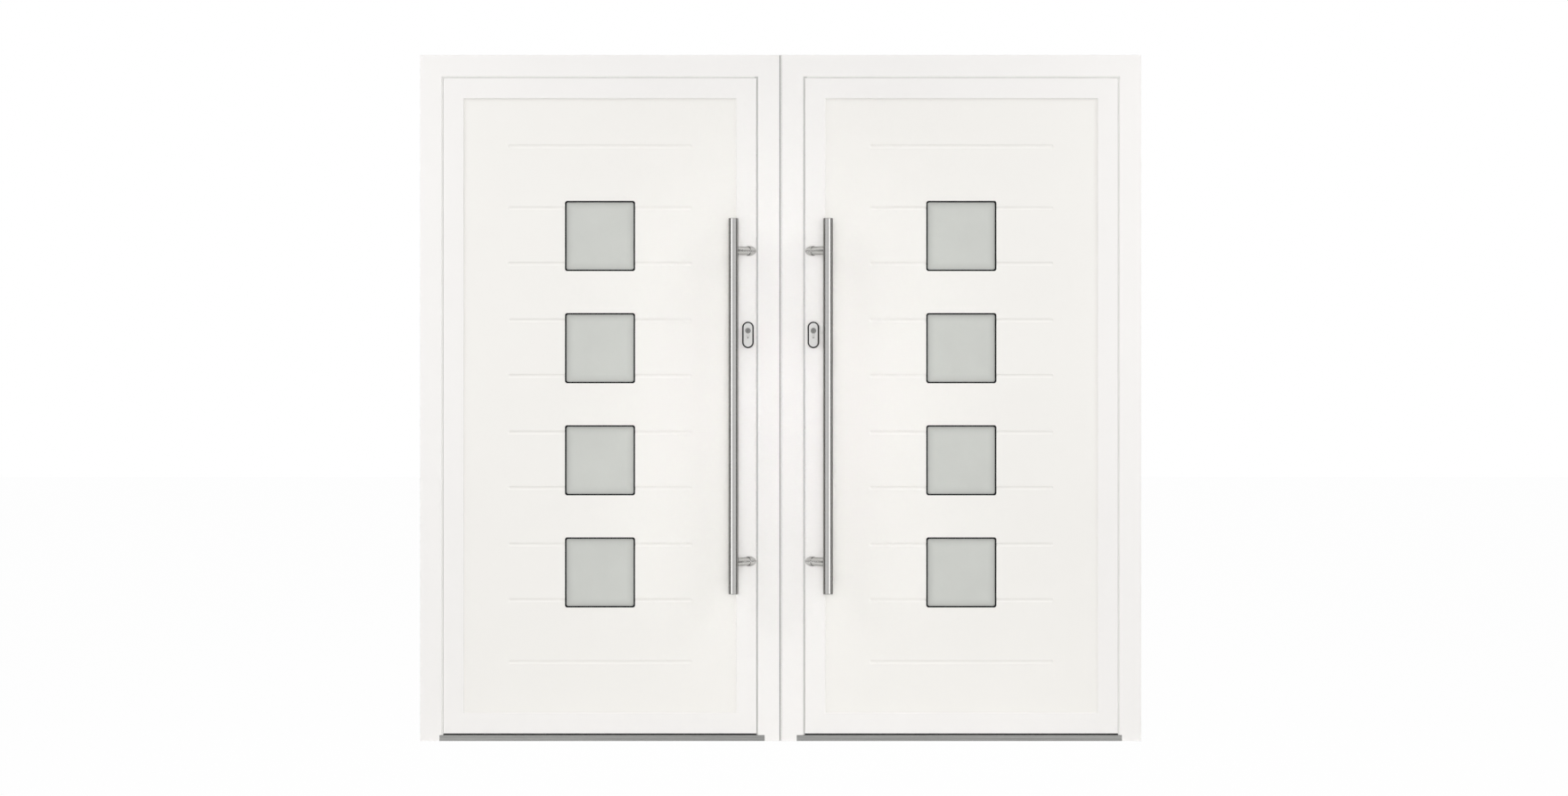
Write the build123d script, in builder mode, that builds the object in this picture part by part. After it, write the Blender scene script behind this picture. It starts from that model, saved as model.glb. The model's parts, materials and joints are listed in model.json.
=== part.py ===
from build123d import *
import os
from math import cos, radians, sin, sqrt

# Pair of single-leaf aluminium entrance doors, coupled side by side.
# X runs to the right as seen from outside, +Y into the building, Z up, all in millimetres.
# The origin is at floor level on the line between the two units, midway through the frame.
# Everything is drawn for the left unit, hung on its outer jamb; the right unit is its mirror image.

# Door units
unit_width = 1100.0
unit_height = 2100.0
frame_depth = 70.0

# Coupling profile between the two frames
coupling_gap = 6.0
coupling_nose = 3.2
coupling_nose_shift = 0.7
coupling_nose_depth = 6.0
coupling_inset = 1.0

# Frame profile, with depths counted from the outside face
frame_face = 66.0
frame_wall = 2.0
frame_arris = 1.0
seat_wall = 6.0
outer_shell = 16.0
break_depth = 12.0
strip_thickness = 2.5
strip_recess = 4.0
anchor_diameter = 9.0
anchor_shares = (0.10, 0.37, 0.63, 0.90)

# Leaf profile, with the lip that laps the frame on the inside
joint_gap = 5.0
leaf_lap = 20.0
lip_depth = 18.0
sash_body = 44.0
sash_face = 63.0
sash_wall = 2.0
sash_arris = 1.0
edge_wall = 9.0
flange_depth = 5.0
flange_bevel = 2.0

# Threshold
threshold_height = 18.0
threshold_wall = 3.0
threshold_lap = 7.0
threshold_chamfer = 2.0
drain_width = 4.0
drain_depth = 1.5
drain_shares = (0.10, 0.18, 0.26)

# Seals
gasket_width = 8.0
gasket_foot = 1.5
gasket_inset = 7.0
seal_clearance = 0.3
seal_tip = 7.0
seal_end_gap = 1.0
lip_inset = 2.5
lip_thickness = 3.5
lip_clearance = 0.8
lip_edge = 0.6

# Infill panel, its grooves and the beads behind it
panel_thickness = 44.0
panel_clearance = 1.0
groove_width = 12.0
groove_depth = 2.0
groove_length = 564.0
groove_offset = 85.0
end_groove_offset = 274.5
bead_wall = 2.0
bead_arris = 1.0
bead_gap = 0.2

# Windows: sealed double panes in pockets behind the panel's skins
window_count = 4
window_size = 215.0
window_pitch = 343.5
window_rise = 5.0
window_corner = 7.0
rim_width = 4.5
rim_depth = 4.0
rim_corner = 8.0
pane_thickness = 6.0
pane_overlap = 10.0
pane_corner = 2.0
pane_clearance = 0.5
spacer_inset = 3.5
spacer_width = 6.5

# Pull handle: an upright bar on two slanted posts
bar_diameter = 30.0
bar_length = 1145.0
bar_height = 1025.0
bar_inset = 70.0
bar_edge = 1.5
bar_cap = 4.0
cap_joint_width = 0.6
cap_joint_depth = 0.4
stand_off = 48.0
post_diameter = 25.0
post_spacing = 950.0
post_slant = 45.0
collar_diameter = 30.0
collar_length = 6.0
seat_clearance = 0.1

# Lock places on the leaf
backset = 26.0
cylinder_height = 1256.0
lever_drop = 92.0
latch_rise = 34.0
bolt_rise = 45.0
auxiliary_shares = (0.24, 0.86)

# Lock case, faceplate and strike plates
case_thickness = 14.0
case_wall = 1.2
case_below = 44.0
case_above = 44.0
small_case_height = 70.0
small_case_depth = 36.0
faceplate_width = 18.0
faceplate_thickness = 3.0
faceplate_margin = 60.0
strike_width = 15.0
strike_thickness = 2.0
strike_margin = 24.0
slide_clearance = 0.5
strike_clearance = 1.0

# Bolts, latch and drive rods
bolt_thickness = 9.0
bolt_height = 32.0
bolt_length = 30.0
small_bolt_height = 20.0
small_bolt_length = 26.0
latch_height = 30.0
latch_throw = 12.0
latch_body = 25.0
latch_nose = 1.5
rod_width = 11.0
rod_thickness = 3.0
rod_entry = 12.0
rod_end_gap = 50.0
channel_clearance = 0.5
channel_run = 15.0

# Profile cylinder with its plug
cylinder_diameter = 17.0
cylinder_stem = 10.0
cylinder_drop = 19.5
cylinder_inset = 1.0
cylinder_clearance = 0.3
plug_diameter = 13.0
plug_clearance = 0.05
cam_thickness = 9.4
cam_clearance = 0.3
cam_reach = 14.0
cam_width = 7.0
key_slot = 2.2
key_slot_height = 8.0
key_slot_depth = 24.0

# Plates round the cylinder
escutcheon_width = 35.0
escutcheon_length = 81.0
escutcheon_thickness = 10.0
escutcheon_edge = 5.5
escutcheon_drop = 13.0
backplate_width = 32.0
backplate_length = 236.0
backplate_thickness = 9.0
backplate_edge = 3.0

# Inside lever and the follower that it turns
spindle_side = 8.0
neck_diameter = 18.0
neck_length = 46.0
neck_gap = 1.0
grip_length = 128.0
grip_bend = 16.0
grip_edge = 3.0
neck_clearance = 0.3
hub_diameter = 22.0
journal_diameter = 16.0
journal_clearance = 0.06
hub_clearance = 0.3
toe_reach = 16.0
toe_width = 8.0

# Hinges on the inside
hinge_shares = (0.115, 0.50, 0.885)
knuckle_diameter = 20.0
knuckle_height = 30.0
knuckle_gap = 0.2
knuckle_clearance = 0.5
hinge_plate_thickness = 4.0
hinge_plate_width = 33.0
hinge_plate_setback = 11.5
hinge_plate_corner = 4.0
screw_hole = 5.2
screw_head = 9.6
screw_pitch = 30.0
pin_diameter = 10.0
pin_clearance = 0.05
cap_diameter = 15.0
cap_height = 5.0
cap_edge = 1.5

# Cuts run past what they cut by this much
overrun = 5.0

# Places that follow from the sizes above
hinge_edge = -coupling_gap / 2 - unit_width
lock_edge = -coupling_gap / 2
leaf_inset = frame_face + joint_gap
leaf_left = hinge_edge + leaf_inset
leaf_right = lock_edge - leaf_inset
leaf_bottom = threshold_height + joint_gap
leaf_top = unit_height - leaf_inset
leaf_width = leaf_right - leaf_left
leaf_height = leaf_top - leaf_bottom
leaf_middle = (leaf_left + leaf_right) / 2
leaf_centre = (leaf_bottom + leaf_top) / 2
break_end = outer_shell + break_depth
lip_start = frame_depth - lip_depth
shoulder = lip_start - joint_gap
panel_back = flange_depth + panel_thickness
lock_depth = (break_end + shoulder) / 2
window_centre = leaf_centre + window_rise
lever_height = cylinder_height - lever_drop
latch_level = lever_height + latch_rise
main_bolt_height = cylinder_height + bolt_rise
auxiliary_heights = [leaf_bottom + leaf_height * share for share in auxiliary_shares]
case_low = lever_height - case_below
case_high = main_bolt_height + case_above
lock_x = leaf_right - backset
gasket_across = (frame_face - gasket_inset - gasket_width, frame_face - gasket_inset)
lip_across = (frame_face, frame_face + joint_gap - lip_clearance)
hinge_x = hinge_edge + leaf_inset - leaf_lap - joint_gap / 2
hinge_y = frame_depth / 2 + knuckle_diameter / 2 + knuckle_clearance


def depth(distance):
    """Y of a depth counted from the outside face."""
    return distance - frame_depth / 2


def slab(across, deep, mode=Mode.ADD):
    """Rectangle of a profile section, between two distances across and two depths."""
    middle = ((across[0] + across[1]) / 2, depth((deep[0] + deep[1]) / 2))
    with Locations(middle):
        Rectangle(across[1] - across[0], deep[1] - deep[0], mode=mode)


def block(xs, ys, zs, mode=Mode.ADD):
    """Box between two values along each axis."""
    middle = [(pair[0] + pair[1]) / 2 for pair in (xs, ys, zs)]
    sides = [abs(pair[1] - pair[0]) for pair in (xs, ys, zs)]
    with Locations(tuple(middle)):
        Box(*sides, mode=mode)


def around(middle, size):
    """The two values that lie half a size on either side of a middle."""
    return (middle - size / 2, middle + size / 2)


def round_faces(radius):
    """Round the arrises of a section on the outside face and on the inside face."""
    corners = vertices().group_by(Axis.Y)
    fillet(corners[0] + corners[-1], radius=radius)


def frame_section():
    """Thermally broken frame profile; the leaf's lip shuts on its inner shoulder."""
    rebate = frame_face - leaf_lap
    outer_chamber = (frame_wall, outer_shell - frame_wall)
    inner_chamber = (break_end + frame_wall, shoulder - frame_wall)
    lip_chamber = (shoulder - frame_wall, frame_depth - frame_wall)
    slab((0, frame_face), (0, outer_shell))
    slab((0, frame_face), (break_end, shoulder))
    slab((0, rebate), (shoulder, frame_depth))
    slab((frame_wall, frame_face - frame_wall), outer_chamber, Mode.SUBTRACT)
    slab((frame_wall, frame_face - seat_wall), inner_chamber, Mode.SUBTRACT)
    slab((frame_wall, rebate - frame_wall), lip_chamber, Mode.SUBTRACT)
    for strip in (strip_recess, frame_face - strip_recess - strip_thickness):
        slab((strip, strip + strip_thickness), (outer_shell, break_end))
    round_faces(frame_arris)


def sash_body_section():
    """Thermally broken body of the leaf profile, with the flange that the panel lies behind."""
    outer_chamber = (sash_wall, outer_shell - sash_wall)
    inner_chamber = (break_end + sash_wall, frame_depth - sash_wall)
    slab((0, sash_body), (0, outer_shell))
    slab((0, sash_body), (break_end, frame_depth))
    slab((sash_wall, sash_body - sash_wall), outer_chamber, Mode.SUBTRACT)
    slab((edge_wall, sash_body - sash_wall), inner_chamber, Mode.SUBTRACT)
    for strip in (strip_recess, sash_body - strip_recess - strip_thickness):
        slab((strip, strip + strip_thickness), (outer_shell, break_end))
    Polygon(
        (sash_body, depth(0)),
        (sash_face - flange_bevel, depth(0)),
        (sash_face, depth(flange_bevel)),
        (sash_face, depth(flange_depth)),
        (sash_body, depth(flange_depth)),
        align=None,
    )


def sash_rail_section():
    """Leaf profile without a lip, for the bottom rail."""
    sash_body_section()
    round_faces(sash_arris)


def sash_section():
    """Leaf profile with the hollow lip that laps the frame."""
    sash_body_section()
    lip_chamber = (lip_start + sash_wall, frame_depth - sash_wall)
    slab((-leaf_lap, 0), (lip_start, frame_depth))
    slab((sash_wall - leaf_lap, edge_wall), lip_chamber, Mode.SUBTRACT)
    round_faces(sash_arris)


def bead_section():
    """Hollow bead between the panel's back and the inside face."""
    chamber = (panel_back + bead_wall, frame_depth - bead_wall)
    slab((sash_body, sash_face), (panel_back, frame_depth))
    slab((sash_body + bead_wall, sash_face - bead_wall), chamber, Mode.SUBTRACT)
    fillet(vertices().group_by(Axis.Y)[-1], radius=bead_arris)


def gasket_section():
    """Rubber stop gasket: a foot on the frame's shoulder and a round bulb towards the leaf."""
    bulb = lip_start - seal_clearance - shoulder
    slab(gasket_across, (shoulder, shoulder + gasket_foot))
    with Locations(((gasket_across[0] + gasket_across[1]) / 2, depth(shoulder + bulb / 2))):
        Circle(bulb / 2)


def outer_lip_section():
    """Pale seal that closes the joint round the leaf, just behind the outside face."""
    slab(lip_across, (lip_inset, lip_inset + lip_thickness))
    fillet(vertices().group_by(Axis.X)[-1], radius=lip_edge)


def run_profile(run, length, section, before=0, after=0):
    """Extrude a section along a plane's normal, with some length before and after the run."""
    with BuildSketch(run.offset(-before)) as outline:
        section()
    extrude(outline.sketch, amount=before + length + after)


def mitre_start(run):
    """Cut the start of a run at 45 degrees, longest on its outer edge."""
    split(bisect_by=Plane(run.origin, x_dir=run.y_dir, z_dir=run.z_dir - run.x_dir), keep=Keep.TOP)


def mitre_end(run, length):
    """Cut the end of a run at 45 degrees, longest on its outer edge."""
    corner = run.origin + run.z_dir * length
    split(bisect_by=Plane(corner, x_dir=run.y_dir, z_dir=run.z_dir + run.x_dir), keep=Keep.BOTTOM)


def facing_out(x, deep, z):
    """Plane parallel to the doors' faces that looks outside, with its own Y upwards."""
    return Plane(origin=(x, depth(deep), z), x_dir=(1, 0, 0), z_dir=(0, -1, 0))


def cylinder_outline(clearance=0.0, stem_clearance=0.0):
    """Round head and rounded stem of a profile cylinder, centred on its plug."""
    Circle(cylinder_diameter / 2 + clearance)
    half_stem = cylinder_stem / 2 + stem_clearance
    with Locations((0, -cylinder_drop / 2)):
        Rectangle(2 * half_stem, cylinder_drop)
    with Locations((0, -cylinder_drop - clearance + stem_clearance)):
        Circle(half_stem)
    with Locations((0, -cylinder_drop)):
        Rectangle(2 * half_stem, 2 * clearance + 2 * stem_clearance)


# Runs of the profiles: each plane's X goes from the outer edge inwards and its Y goes into the building
hinge_jamb_run = Plane(origin=(hinge_edge, 0, 0), x_dir=(1, 0, 0), z_dir=(0, 0, 1))
lock_jamb_run = Plane(origin=(lock_edge, 0, unit_height), x_dir=(-1, 0, 0), z_dir=(0, 0, -1))
head_run = Plane(origin=(hinge_edge, 0, unit_height), x_dir=(0, 0, -1), z_dir=(1, 0, 0))
hinge_stile_run = Plane(origin=(leaf_left, 0, leaf_bottom), x_dir=(1, 0, 0), z_dir=(0, 0, 1))
lock_stile_run = Plane(origin=(leaf_right, 0, leaf_top), x_dir=(-1, 0, 0), z_dir=(0, 0, -1))
top_rail_run = Plane(origin=(leaf_left, 0, leaf_top), x_dir=(0, 0, -1), z_dir=(1, 0, 0))
bottom_rail_run = Plane(origin=(leaf_right, 0, leaf_bottom), x_dir=(0, 0, 1), z_dir=(-1, 0, 0))

# Depth spans and heights shared by the lock's pieces
bolt_span = around(depth(lock_depth), bolt_thickness)
case_span = around(depth(lock_depth), case_thickness)
faceplate_span = around(depth(lock_depth), faceplate_width)
strike_span = around(depth(lock_depth), strike_width)
rod_span = around(depth(lock_depth), rod_width)
latch_zs = around(latch_level, latch_height)
main_bolt_zs = around(main_bolt_height, bolt_height)
small_bolt_zs = [around(height, small_bolt_height) for height in auxiliary_heights]
bolt_openings = [latch_zs, main_bolt_zs, *small_bolt_zs]
strike_zs = [(latch_zs[0], main_bolt_zs[1]), *small_bolt_zs]
small_case_zs = [around(height, small_case_height) for height in auxiliary_heights]
faceplate_zs = (auxiliary_heights[0] - faceplate_margin, auxiliary_heights[1] + faceplate_margin)
lower_rod_zs = (auxiliary_heights[0] + rod_end_gap, case_low + rod_entry)
upper_rod_zs = (case_high - rod_entry, auxiliary_heights[1] - rod_end_gap)
channel_zs = (lower_rod_zs[0] - channel_run, upper_rod_zs[1] + channel_run)
faceplate_back = leaf_right - faceplate_thickness
rod_back = faceplate_back - rod_thickness - 2 * channel_clearance
case_back = leaf_right - sash_body + sash_wall

# Outer upright of the frame, with holes for the wall anchors and a notch for the threshold
with BuildPart() as hinge_jamb:
    run_profile(hinge_jamb_run, unit_height, frame_section)
    mitre_end(hinge_jamb_run, unit_height)
    notch = (hinge_edge + frame_face - threshold_lap, hinge_edge + frame_face + overrun)
    block(notch, (depth(-overrun), depth(shoulder)), (-overrun, threshold_height), Mode.SUBTRACT)
    anchor_x = hinge_edge + frame_face / 2
    with Locations(*[(anchor_x, depth(lock_depth), unit_height * share) for share in anchor_shares]):
        Cylinder(anchor_diameter / 2, frame_face + 2 * overrun, rotation=(0, 90, 0), mode=Mode.SUBTRACT)

# Inner upright of the frame, recessed for the strike plates and open behind them
with BuildPart() as lock_jamb:
    run_profile(lock_jamb_run, unit_height, frame_section)
    mitre_start(lock_jamb_run)
    notch = (lock_edge - frame_face - overrun, lock_edge - frame_face + leaf_lap)
    block(notch, (depth(-overrun), depth(shoulder)), (-overrun, threshold_height), Mode.SUBTRACT)
    strike_face = lock_edge - frame_face
    for low, high in strike_zs:
        recess = (low - strike_margin, high + strike_margin)
        block((strike_face - overrun, strike_face + strike_thickness), strike_span, recess, Mode.SUBTRACT)
    for low, high in bolt_openings:
        pocket = (low - strike_clearance, high + strike_clearance)
        opening = around(depth(lock_depth), bolt_thickness + 2 * strike_clearance)
        block((strike_face - overrun, strike_face + seat_wall + frame_wall), opening, pocket, Mode.SUBTRACT)

# Top of the frame
with BuildPart() as frame_head:
    run_profile(head_run, unit_width, frame_section)
    mitre_start(head_run)
    mitre_end(head_run, unit_width)

# Sill between the uprights, hollow, with drain grooves in front of the leaf
with BuildPart() as threshold:
    sill_start = hinge_edge + frame_face - leaf_lap
    sill_length = unit_width - 2 * (frame_face - leaf_lap)
    with BuildSketch(Plane(origin=(sill_start, 0, 0), x_dir=(0, 1, 0), z_dir=(1, 0, 0))):
        with BuildLine():
            Polyline(
                (depth(0), 0),
                (depth(frame_depth), 0),
                (depth(frame_depth), threshold_height - threshold_chamfer),
                (depth(frame_depth - threshold_chamfer), threshold_height),
                (depth(threshold_chamfer), threshold_height),
                (depth(0), threshold_height - threshold_chamfer),
                close=True,
            )
        make_face()
        chamber = (frame_depth - 3 * threshold_wall) / 2
        for start in (threshold_wall, 2 * threshold_wall + chamber):
            with Locations((depth(start + chamber / 2), threshold_height / 2)):
                Rectangle(chamber, threshold_height - 2 * threshold_wall, mode=Mode.SUBTRACT)
        with Locations(*[(depth(frame_depth * share), threshold_height) for share in drain_shares]):
            Rectangle(drain_width, 2 * drain_depth, mode=Mode.SUBTRACT)
    extrude(amount=sill_length)
    sill_cut = (sill_start - overrun, hinge_edge + frame_face - threshold_lap)
    cut_zs = (-overrun, threshold_height + overrun)
    block(sill_cut, (depth(-overrun), depth(shoulder)), cut_zs, Mode.SUBTRACT)

# Spline that couples the two frames, with a thin nose towards each face, close to the right frame
with BuildPart() as coupling_profile:
    with BuildSketch(Plane.XY):
        Rectangle(coupling_gap, frame_depth - 2 * coupling_inset - 2 * coupling_nose_depth)
        with Locations((coupling_nose_shift, 0)):
            Rectangle(coupling_nose, frame_depth - 2 * coupling_inset)
    extrude(amount=unit_height)

# Stop gaskets on the frame's inner shoulder, just clear of the shut leaf
with BuildPart() as frame_gaskets:
    upright = unit_height - gasket_across[1] - seal_clearance - threshold_height
    run_profile(hinge_jamb_run.offset(threshold_height), upright, gasket_section)
    run_profile(lock_jamb_run.offset(gasket_across[1] + seal_clearance), upright, gasket_section)
    run_profile(head_run.offset(gasket_across[0]), unit_width - 2 * gasket_across[0], gasket_section)
    mirror(about=Plane.YZ)

# Outer seals in the joint between frame and leaf, just clear of the leaf as it swings
with BuildPart() as outer_seals:
    upright = unit_height - lip_across[1] - seal_clearance - threshold_height
    run_profile(hinge_jamb_run.offset(threshold_height), upright, outer_lip_section)
    run_profile(lock_jamb_run.offset(lip_across[1] + seal_clearance), upright, outer_lip_section)
    run_profile(head_run.offset(frame_face), unit_width - 2 * frame_face, outer_lip_section)
    mirror(about=Plane.YZ)

# Strike plates, three in each lock jamb
with BuildPart() as strike_plates:
    for low, high in strike_zs:
        plate = (low - strike_margin, high + strike_margin)
        block((strike_face, strike_face + strike_thickness), strike_span, plate)
    for low, high in bolt_openings:
        pocket = (low - strike_clearance, high + strike_clearance)
        opening = around(depth(lock_depth), bolt_thickness + 2 * strike_clearance)
        block((strike_face - overrun, strike_face + seat_wall), opening, pocket, Mode.SUBTRACT)
    mirror(about=Plane.YZ)

# Leaf profiles, mitred at the corners
with BuildPart() as hinge_stile:
    run_profile(hinge_stile_run, leaf_height, sash_section, after=leaf_lap)
    mitre_start(hinge_stile_run)
    mitre_end(hinge_stile_run, leaf_height)

with BuildPart() as top_rail:
    run_profile(top_rail_run, leaf_width, sash_section, before=leaf_lap, after=leaf_lap)
    mitre_start(top_rail_run)
    mitre_end(top_rail_run, leaf_width)

with BuildPart() as bottom_rail:
    run_profile(bottom_rail_run, leaf_width, sash_rail_section)
    mitre_start(bottom_rail_run)
    mitre_end(bottom_rail_run, leaf_width)

# Lock-side profile, machined for the faceplate, rods, cases, cylinder and spindle
with BuildPart() as lock_stile:
    run_profile(lock_stile_run, leaf_height, sash_section, before=leaf_lap)
    mitre_start(lock_stile_run)
    mitre_end(lock_stile_run, leaf_height)
    block((faceplate_back, leaf_right + overrun), faceplate_span, faceplate_zs, Mode.SUBTRACT)
    channel_span = around(depth(lock_depth), rod_width + 2 * channel_clearance)
    block((rod_back, leaf_right), channel_span, channel_zs, Mode.SUBTRACT)
    for case_zs in ((case_low, case_high), *small_case_zs):
        block((leaf_right - edge_wall - sash_wall, leaf_right), case_span, case_zs, Mode.SUBTRACT)
    with BuildSketch(facing_out(lock_x, -overrun, cylinder_height)):
        cylinder_outline(cylinder_clearance, cylinder_clearance)
    extrude(amount=-frame_depth - 2 * overrun, mode=Mode.SUBTRACT)
    with BuildSketch(facing_out(lock_x, lock_depth, lever_height)):
        Circle(journal_diameter / 2 + neck_clearance)
    extrude(amount=-frame_depth, mode=Mode.SUBTRACT)

# Panel with rounded grooves across its outside face, square openings and pockets for the panes
window_places = [(0, window_pitch * (index - (window_count - 1) / 2)) for index in range(window_count)]
groove_rises = [place[1] + side * groove_offset for place in window_places for side in (-1, 1)]
groove_rises += [window_places[0][1] - end_groove_offset, window_places[-1][1] + end_groove_offset]
glass_front = flange_depth + rim_depth
glass_back = panel_back - rim_depth
pane_size = window_size + 2 * pane_overlap
groove_radius = (groove_width**2 / 4 + groove_depth**2) / (2 * groove_depth)
groove_axis = flange_depth - groove_radius + groove_depth
with BuildPart() as infill_panel:
    with BuildSketch(facing_out(leaf_middle, flange_depth, leaf_centre)):
        panel_margin = 2 * (sash_body + panel_clearance)
        Rectangle(leaf_width - panel_margin, leaf_height - panel_margin)
    extrude(amount=-panel_thickness)
    for rise in groove_rises:
        groove_line = facing_out(leaf_middle, groove_axis, window_centre + rise)
        with BuildSketch(Plane(groove_line.origin, x_dir=(1, 0, 0), z_dir=(0, 0, 1))):
            SlotCenterToCenter(groove_length - groove_width, 2 * groove_radius)
            with Locations((0, -groove_radius)):
                Rectangle(2 * groove_length, 2 * groove_radius, mode=Mode.SUBTRACT)
        revolve(axis=Axis(groove_line.origin, (1, 0, 0)), mode=Mode.SUBTRACT)
    with BuildSketch(facing_out(leaf_middle, flange_depth - overrun, window_centre)):
        with Locations(*window_places):
            RectangleRounded(window_size, window_size, window_corner)
    extrude(amount=-panel_thickness - 2 * overrun, mode=Mode.SUBTRACT)
    with BuildSketch(facing_out(leaf_middle, glass_front, window_centre)):
        with Locations(*window_places):
            pocket_size = pane_size + 2 * pane_clearance
            RectangleRounded(pocket_size, pocket_size, pane_corner)
    extrude(amount=glass_front - glass_back, mode=Mode.SUBTRACT)

# Beads that hold the panel from inside: two across, and two uprights between them
with BuildPart() as panel_beads:
    for bead_run, bead_length, trim in (
        (top_rail_run, leaf_width, sash_body),
        (bottom_rail_run, leaf_width, sash_body),
        (hinge_stile_run, leaf_height, sash_face + bead_gap),
        (lock_stile_run, leaf_height, sash_face + bead_gap),
    ):
        run_profile(bead_run.offset(trim), bead_length - 2 * trim, bead_section)

# Two frosted panes in each window, held apart by a black spacer
with BuildPart() as window_units:
    for pane_start in (glass_front, glass_back - pane_thickness):
        with BuildSketch(facing_out(leaf_middle, pane_start, window_centre)):
            with Locations(*window_places):
                RectangleRounded(pane_size, pane_size, pane_corner)
        extrude(amount=-pane_thickness)

# Gasket rings in the openings, outside and inside, and the spacers between the panes
with BuildPart() as window_gaskets:
    for rim_start in (flange_depth, glass_back):
        with BuildSketch(facing_out(leaf_middle, rim_start, window_centre)):
            with Locations(*window_places):
                RectangleRounded(window_size, window_size, rim_corner)
                rim_opening = window_size - 2 * rim_width
                RectangleRounded(rim_opening, rim_opening, rim_corner - rim_width / 2, mode=Mode.SUBTRACT)
        extrude(amount=-rim_depth)
    with BuildSketch(facing_out(leaf_middle, glass_front + pane_thickness, window_centre)):
        with Locations(*window_places):
            spacer_size = pane_size - 2 * spacer_inset
            Rectangle(spacer_size, spacer_size)
            spacer_opening = spacer_size - 2 * spacer_width
            Rectangle(spacer_opening, spacer_opening, mode=Mode.SUBTRACT)
    extrude(amount=glass_front - glass_back + 2 * pane_thickness)

# Rubber strip plugged into the bottom rail, just clear of the threshold
with BuildPart() as bottom_seal:
    seal_bottom = threshold_height + seal_clearance
    with BuildSketch(Plane(origin=(leaf_left + seal_end_gap, 0, 0), x_dir=(0, 1, 0), z_dir=(1, 0, 0))):
        with BuildLine():
            Polyline(
                (depth(outer_shell), leaf_bottom + strip_recess),
                (depth(outer_shell), leaf_bottom),
                (depth(outer_shell), seal_bottom),
                (depth(outer_shell + seal_tip), seal_bottom),
                (depth(break_end), leaf_bottom),
                (depth(break_end), leaf_bottom + strip_recess),
                close=True,
            )
        make_face()
    extrude(amount=leaf_width - 2 * seal_end_gap)

# Pull bar with a fine joint round each end cap, spot-faced where the posts meet it
bar_x = leaf_right - bar_inset
bar_y = depth(-stand_off)
post_heights = around(bar_height, post_spacing)
post_axis = (sin(radians(post_slant)), cos(radians(post_slant)), 0)
post_starts = [(bar_x, bar_y, height) for height in post_heights]
post_runs = [Plane(origin=start, x_dir=(0, 0, 1), z_dir=post_axis) for start in post_starts]
seat_distance = sqrt(bar_diameter**2 - post_diameter**2) / 2
foot_distance = stand_off / cos(radians(post_slant))
with BuildPart() as pull_bar:
    with BuildSketch(Plane(origin=(bar_x, bar_y, bar_height - bar_length / 2))):
        Circle(bar_diameter / 2)
    extrude(amount=bar_length)
    fillet(edges().filter_by(GeomType.CIRCLE), radius=bar_edge)
    for joint_height in around(bar_height, bar_length - 2 * bar_cap):
        with BuildSketch(Plane(origin=(bar_x, bar_y, joint_height - cap_joint_width / 2))):
            Circle(bar_diameter / 2 + overrun)
            Circle(bar_diameter / 2 - cap_joint_depth, mode=Mode.SUBTRACT)
        extrude(amount=cap_joint_width, mode=Mode.SUBTRACT)
    for post_run in post_runs:
        with BuildSketch(post_run.offset(seat_distance)):
            Circle(post_diameter / 2 + seat_clearance)
        extrude(amount=bar_diameter, mode=Mode.SUBTRACT)

# Slanted posts with a collar at the foot, cut flush with the leaf's face
with BuildPart() as pull_posts:
    for post_run in post_runs:
        with BuildSketch(post_run.offset(seat_distance)):
            Circle(post_diameter / 2)
        extrude(amount=foot_distance - seat_distance + post_diameter)
        with BuildSketch(post_run.offset(foot_distance - collar_length)):
            Circle(collar_diameter / 2)
        extrude(amount=collar_length + collar_diameter)
    split(bisect_by=facing_out(bar_x, 0, bar_height), keep=Keep.TOP)

# Oval plate round the cylinder on the outside
with BuildPart() as outer_escutcheon:
    with BuildSketch(facing_out(lock_x, 0, cylinder_height - escutcheon_drop)):
        SlotOverall(escutcheon_length, escutcheon_width, rotation=90)
    extrude(amount=escutcheon_thickness)
    fillet(faces().sort_by(Axis.Y)[0].edges(), radius=escutcheon_edge)
    with BuildSketch(facing_out(lock_x, -escutcheon_thickness - overrun, cylinder_height)):
        cylinder_outline(cylinder_clearance, cylinder_clearance)
    extrude(amount=-escutcheon_thickness - 2 * overrun, mode=Mode.SUBTRACT)

# Long plate under the lever on the inside
plate_centre = (cylinder_height + lever_height) / 2
inside_face = depth(frame_depth)
with BuildPart() as inner_backplate:
    with BuildSketch(facing_out(lock_x, frame_depth, plate_centre)):
        SlotOverall(backplate_length, backplate_width, rotation=90)
    extrude(amount=-backplate_thickness)
    fillet(faces().sort_by(Axis.Y)[-1].edges(), radius=backplate_edge)
    with BuildSketch(facing_out(lock_x, frame_depth - overrun, cylinder_height)):
        cylinder_outline(cylinder_clearance, cylinder_clearance)
    extrude(amount=-backplate_thickness - 2 * overrun, mode=Mode.SUBTRACT)
    with BuildSketch(facing_out(lock_x, frame_depth - overrun, lever_height)):
        Circle(neck_diameter / 2 + neck_clearance)
    extrude(amount=-backplate_thickness - 2 * overrun, mode=Mode.SUBTRACT)

# Double profile cylinder: a bridge under the cam's slot joins its two halves
cylinder_front = -escutcheon_thickness + cylinder_inset
cylinder_back = frame_depth + backplate_thickness - cylinder_inset
cam_slot = around(depth(lock_depth), cam_thickness + 2 * cam_clearance)
with BuildPart() as cylinder_body:
    with BuildSketch(facing_out(lock_x, cylinder_front, cylinder_height)):
        cylinder_outline()
        Circle(plug_diameter / 2 + plug_clearance, mode=Mode.SUBTRACT)
    extrude(amount=cylinder_front - cylinder_back)
    slot_zs = (cylinder_height - cam_reach - cam_clearance, cylinder_height + cylinder_diameter)
    block(around(lock_x, 2 * cylinder_diameter), cam_slot, slot_zs, Mode.SUBTRACT)

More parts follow.
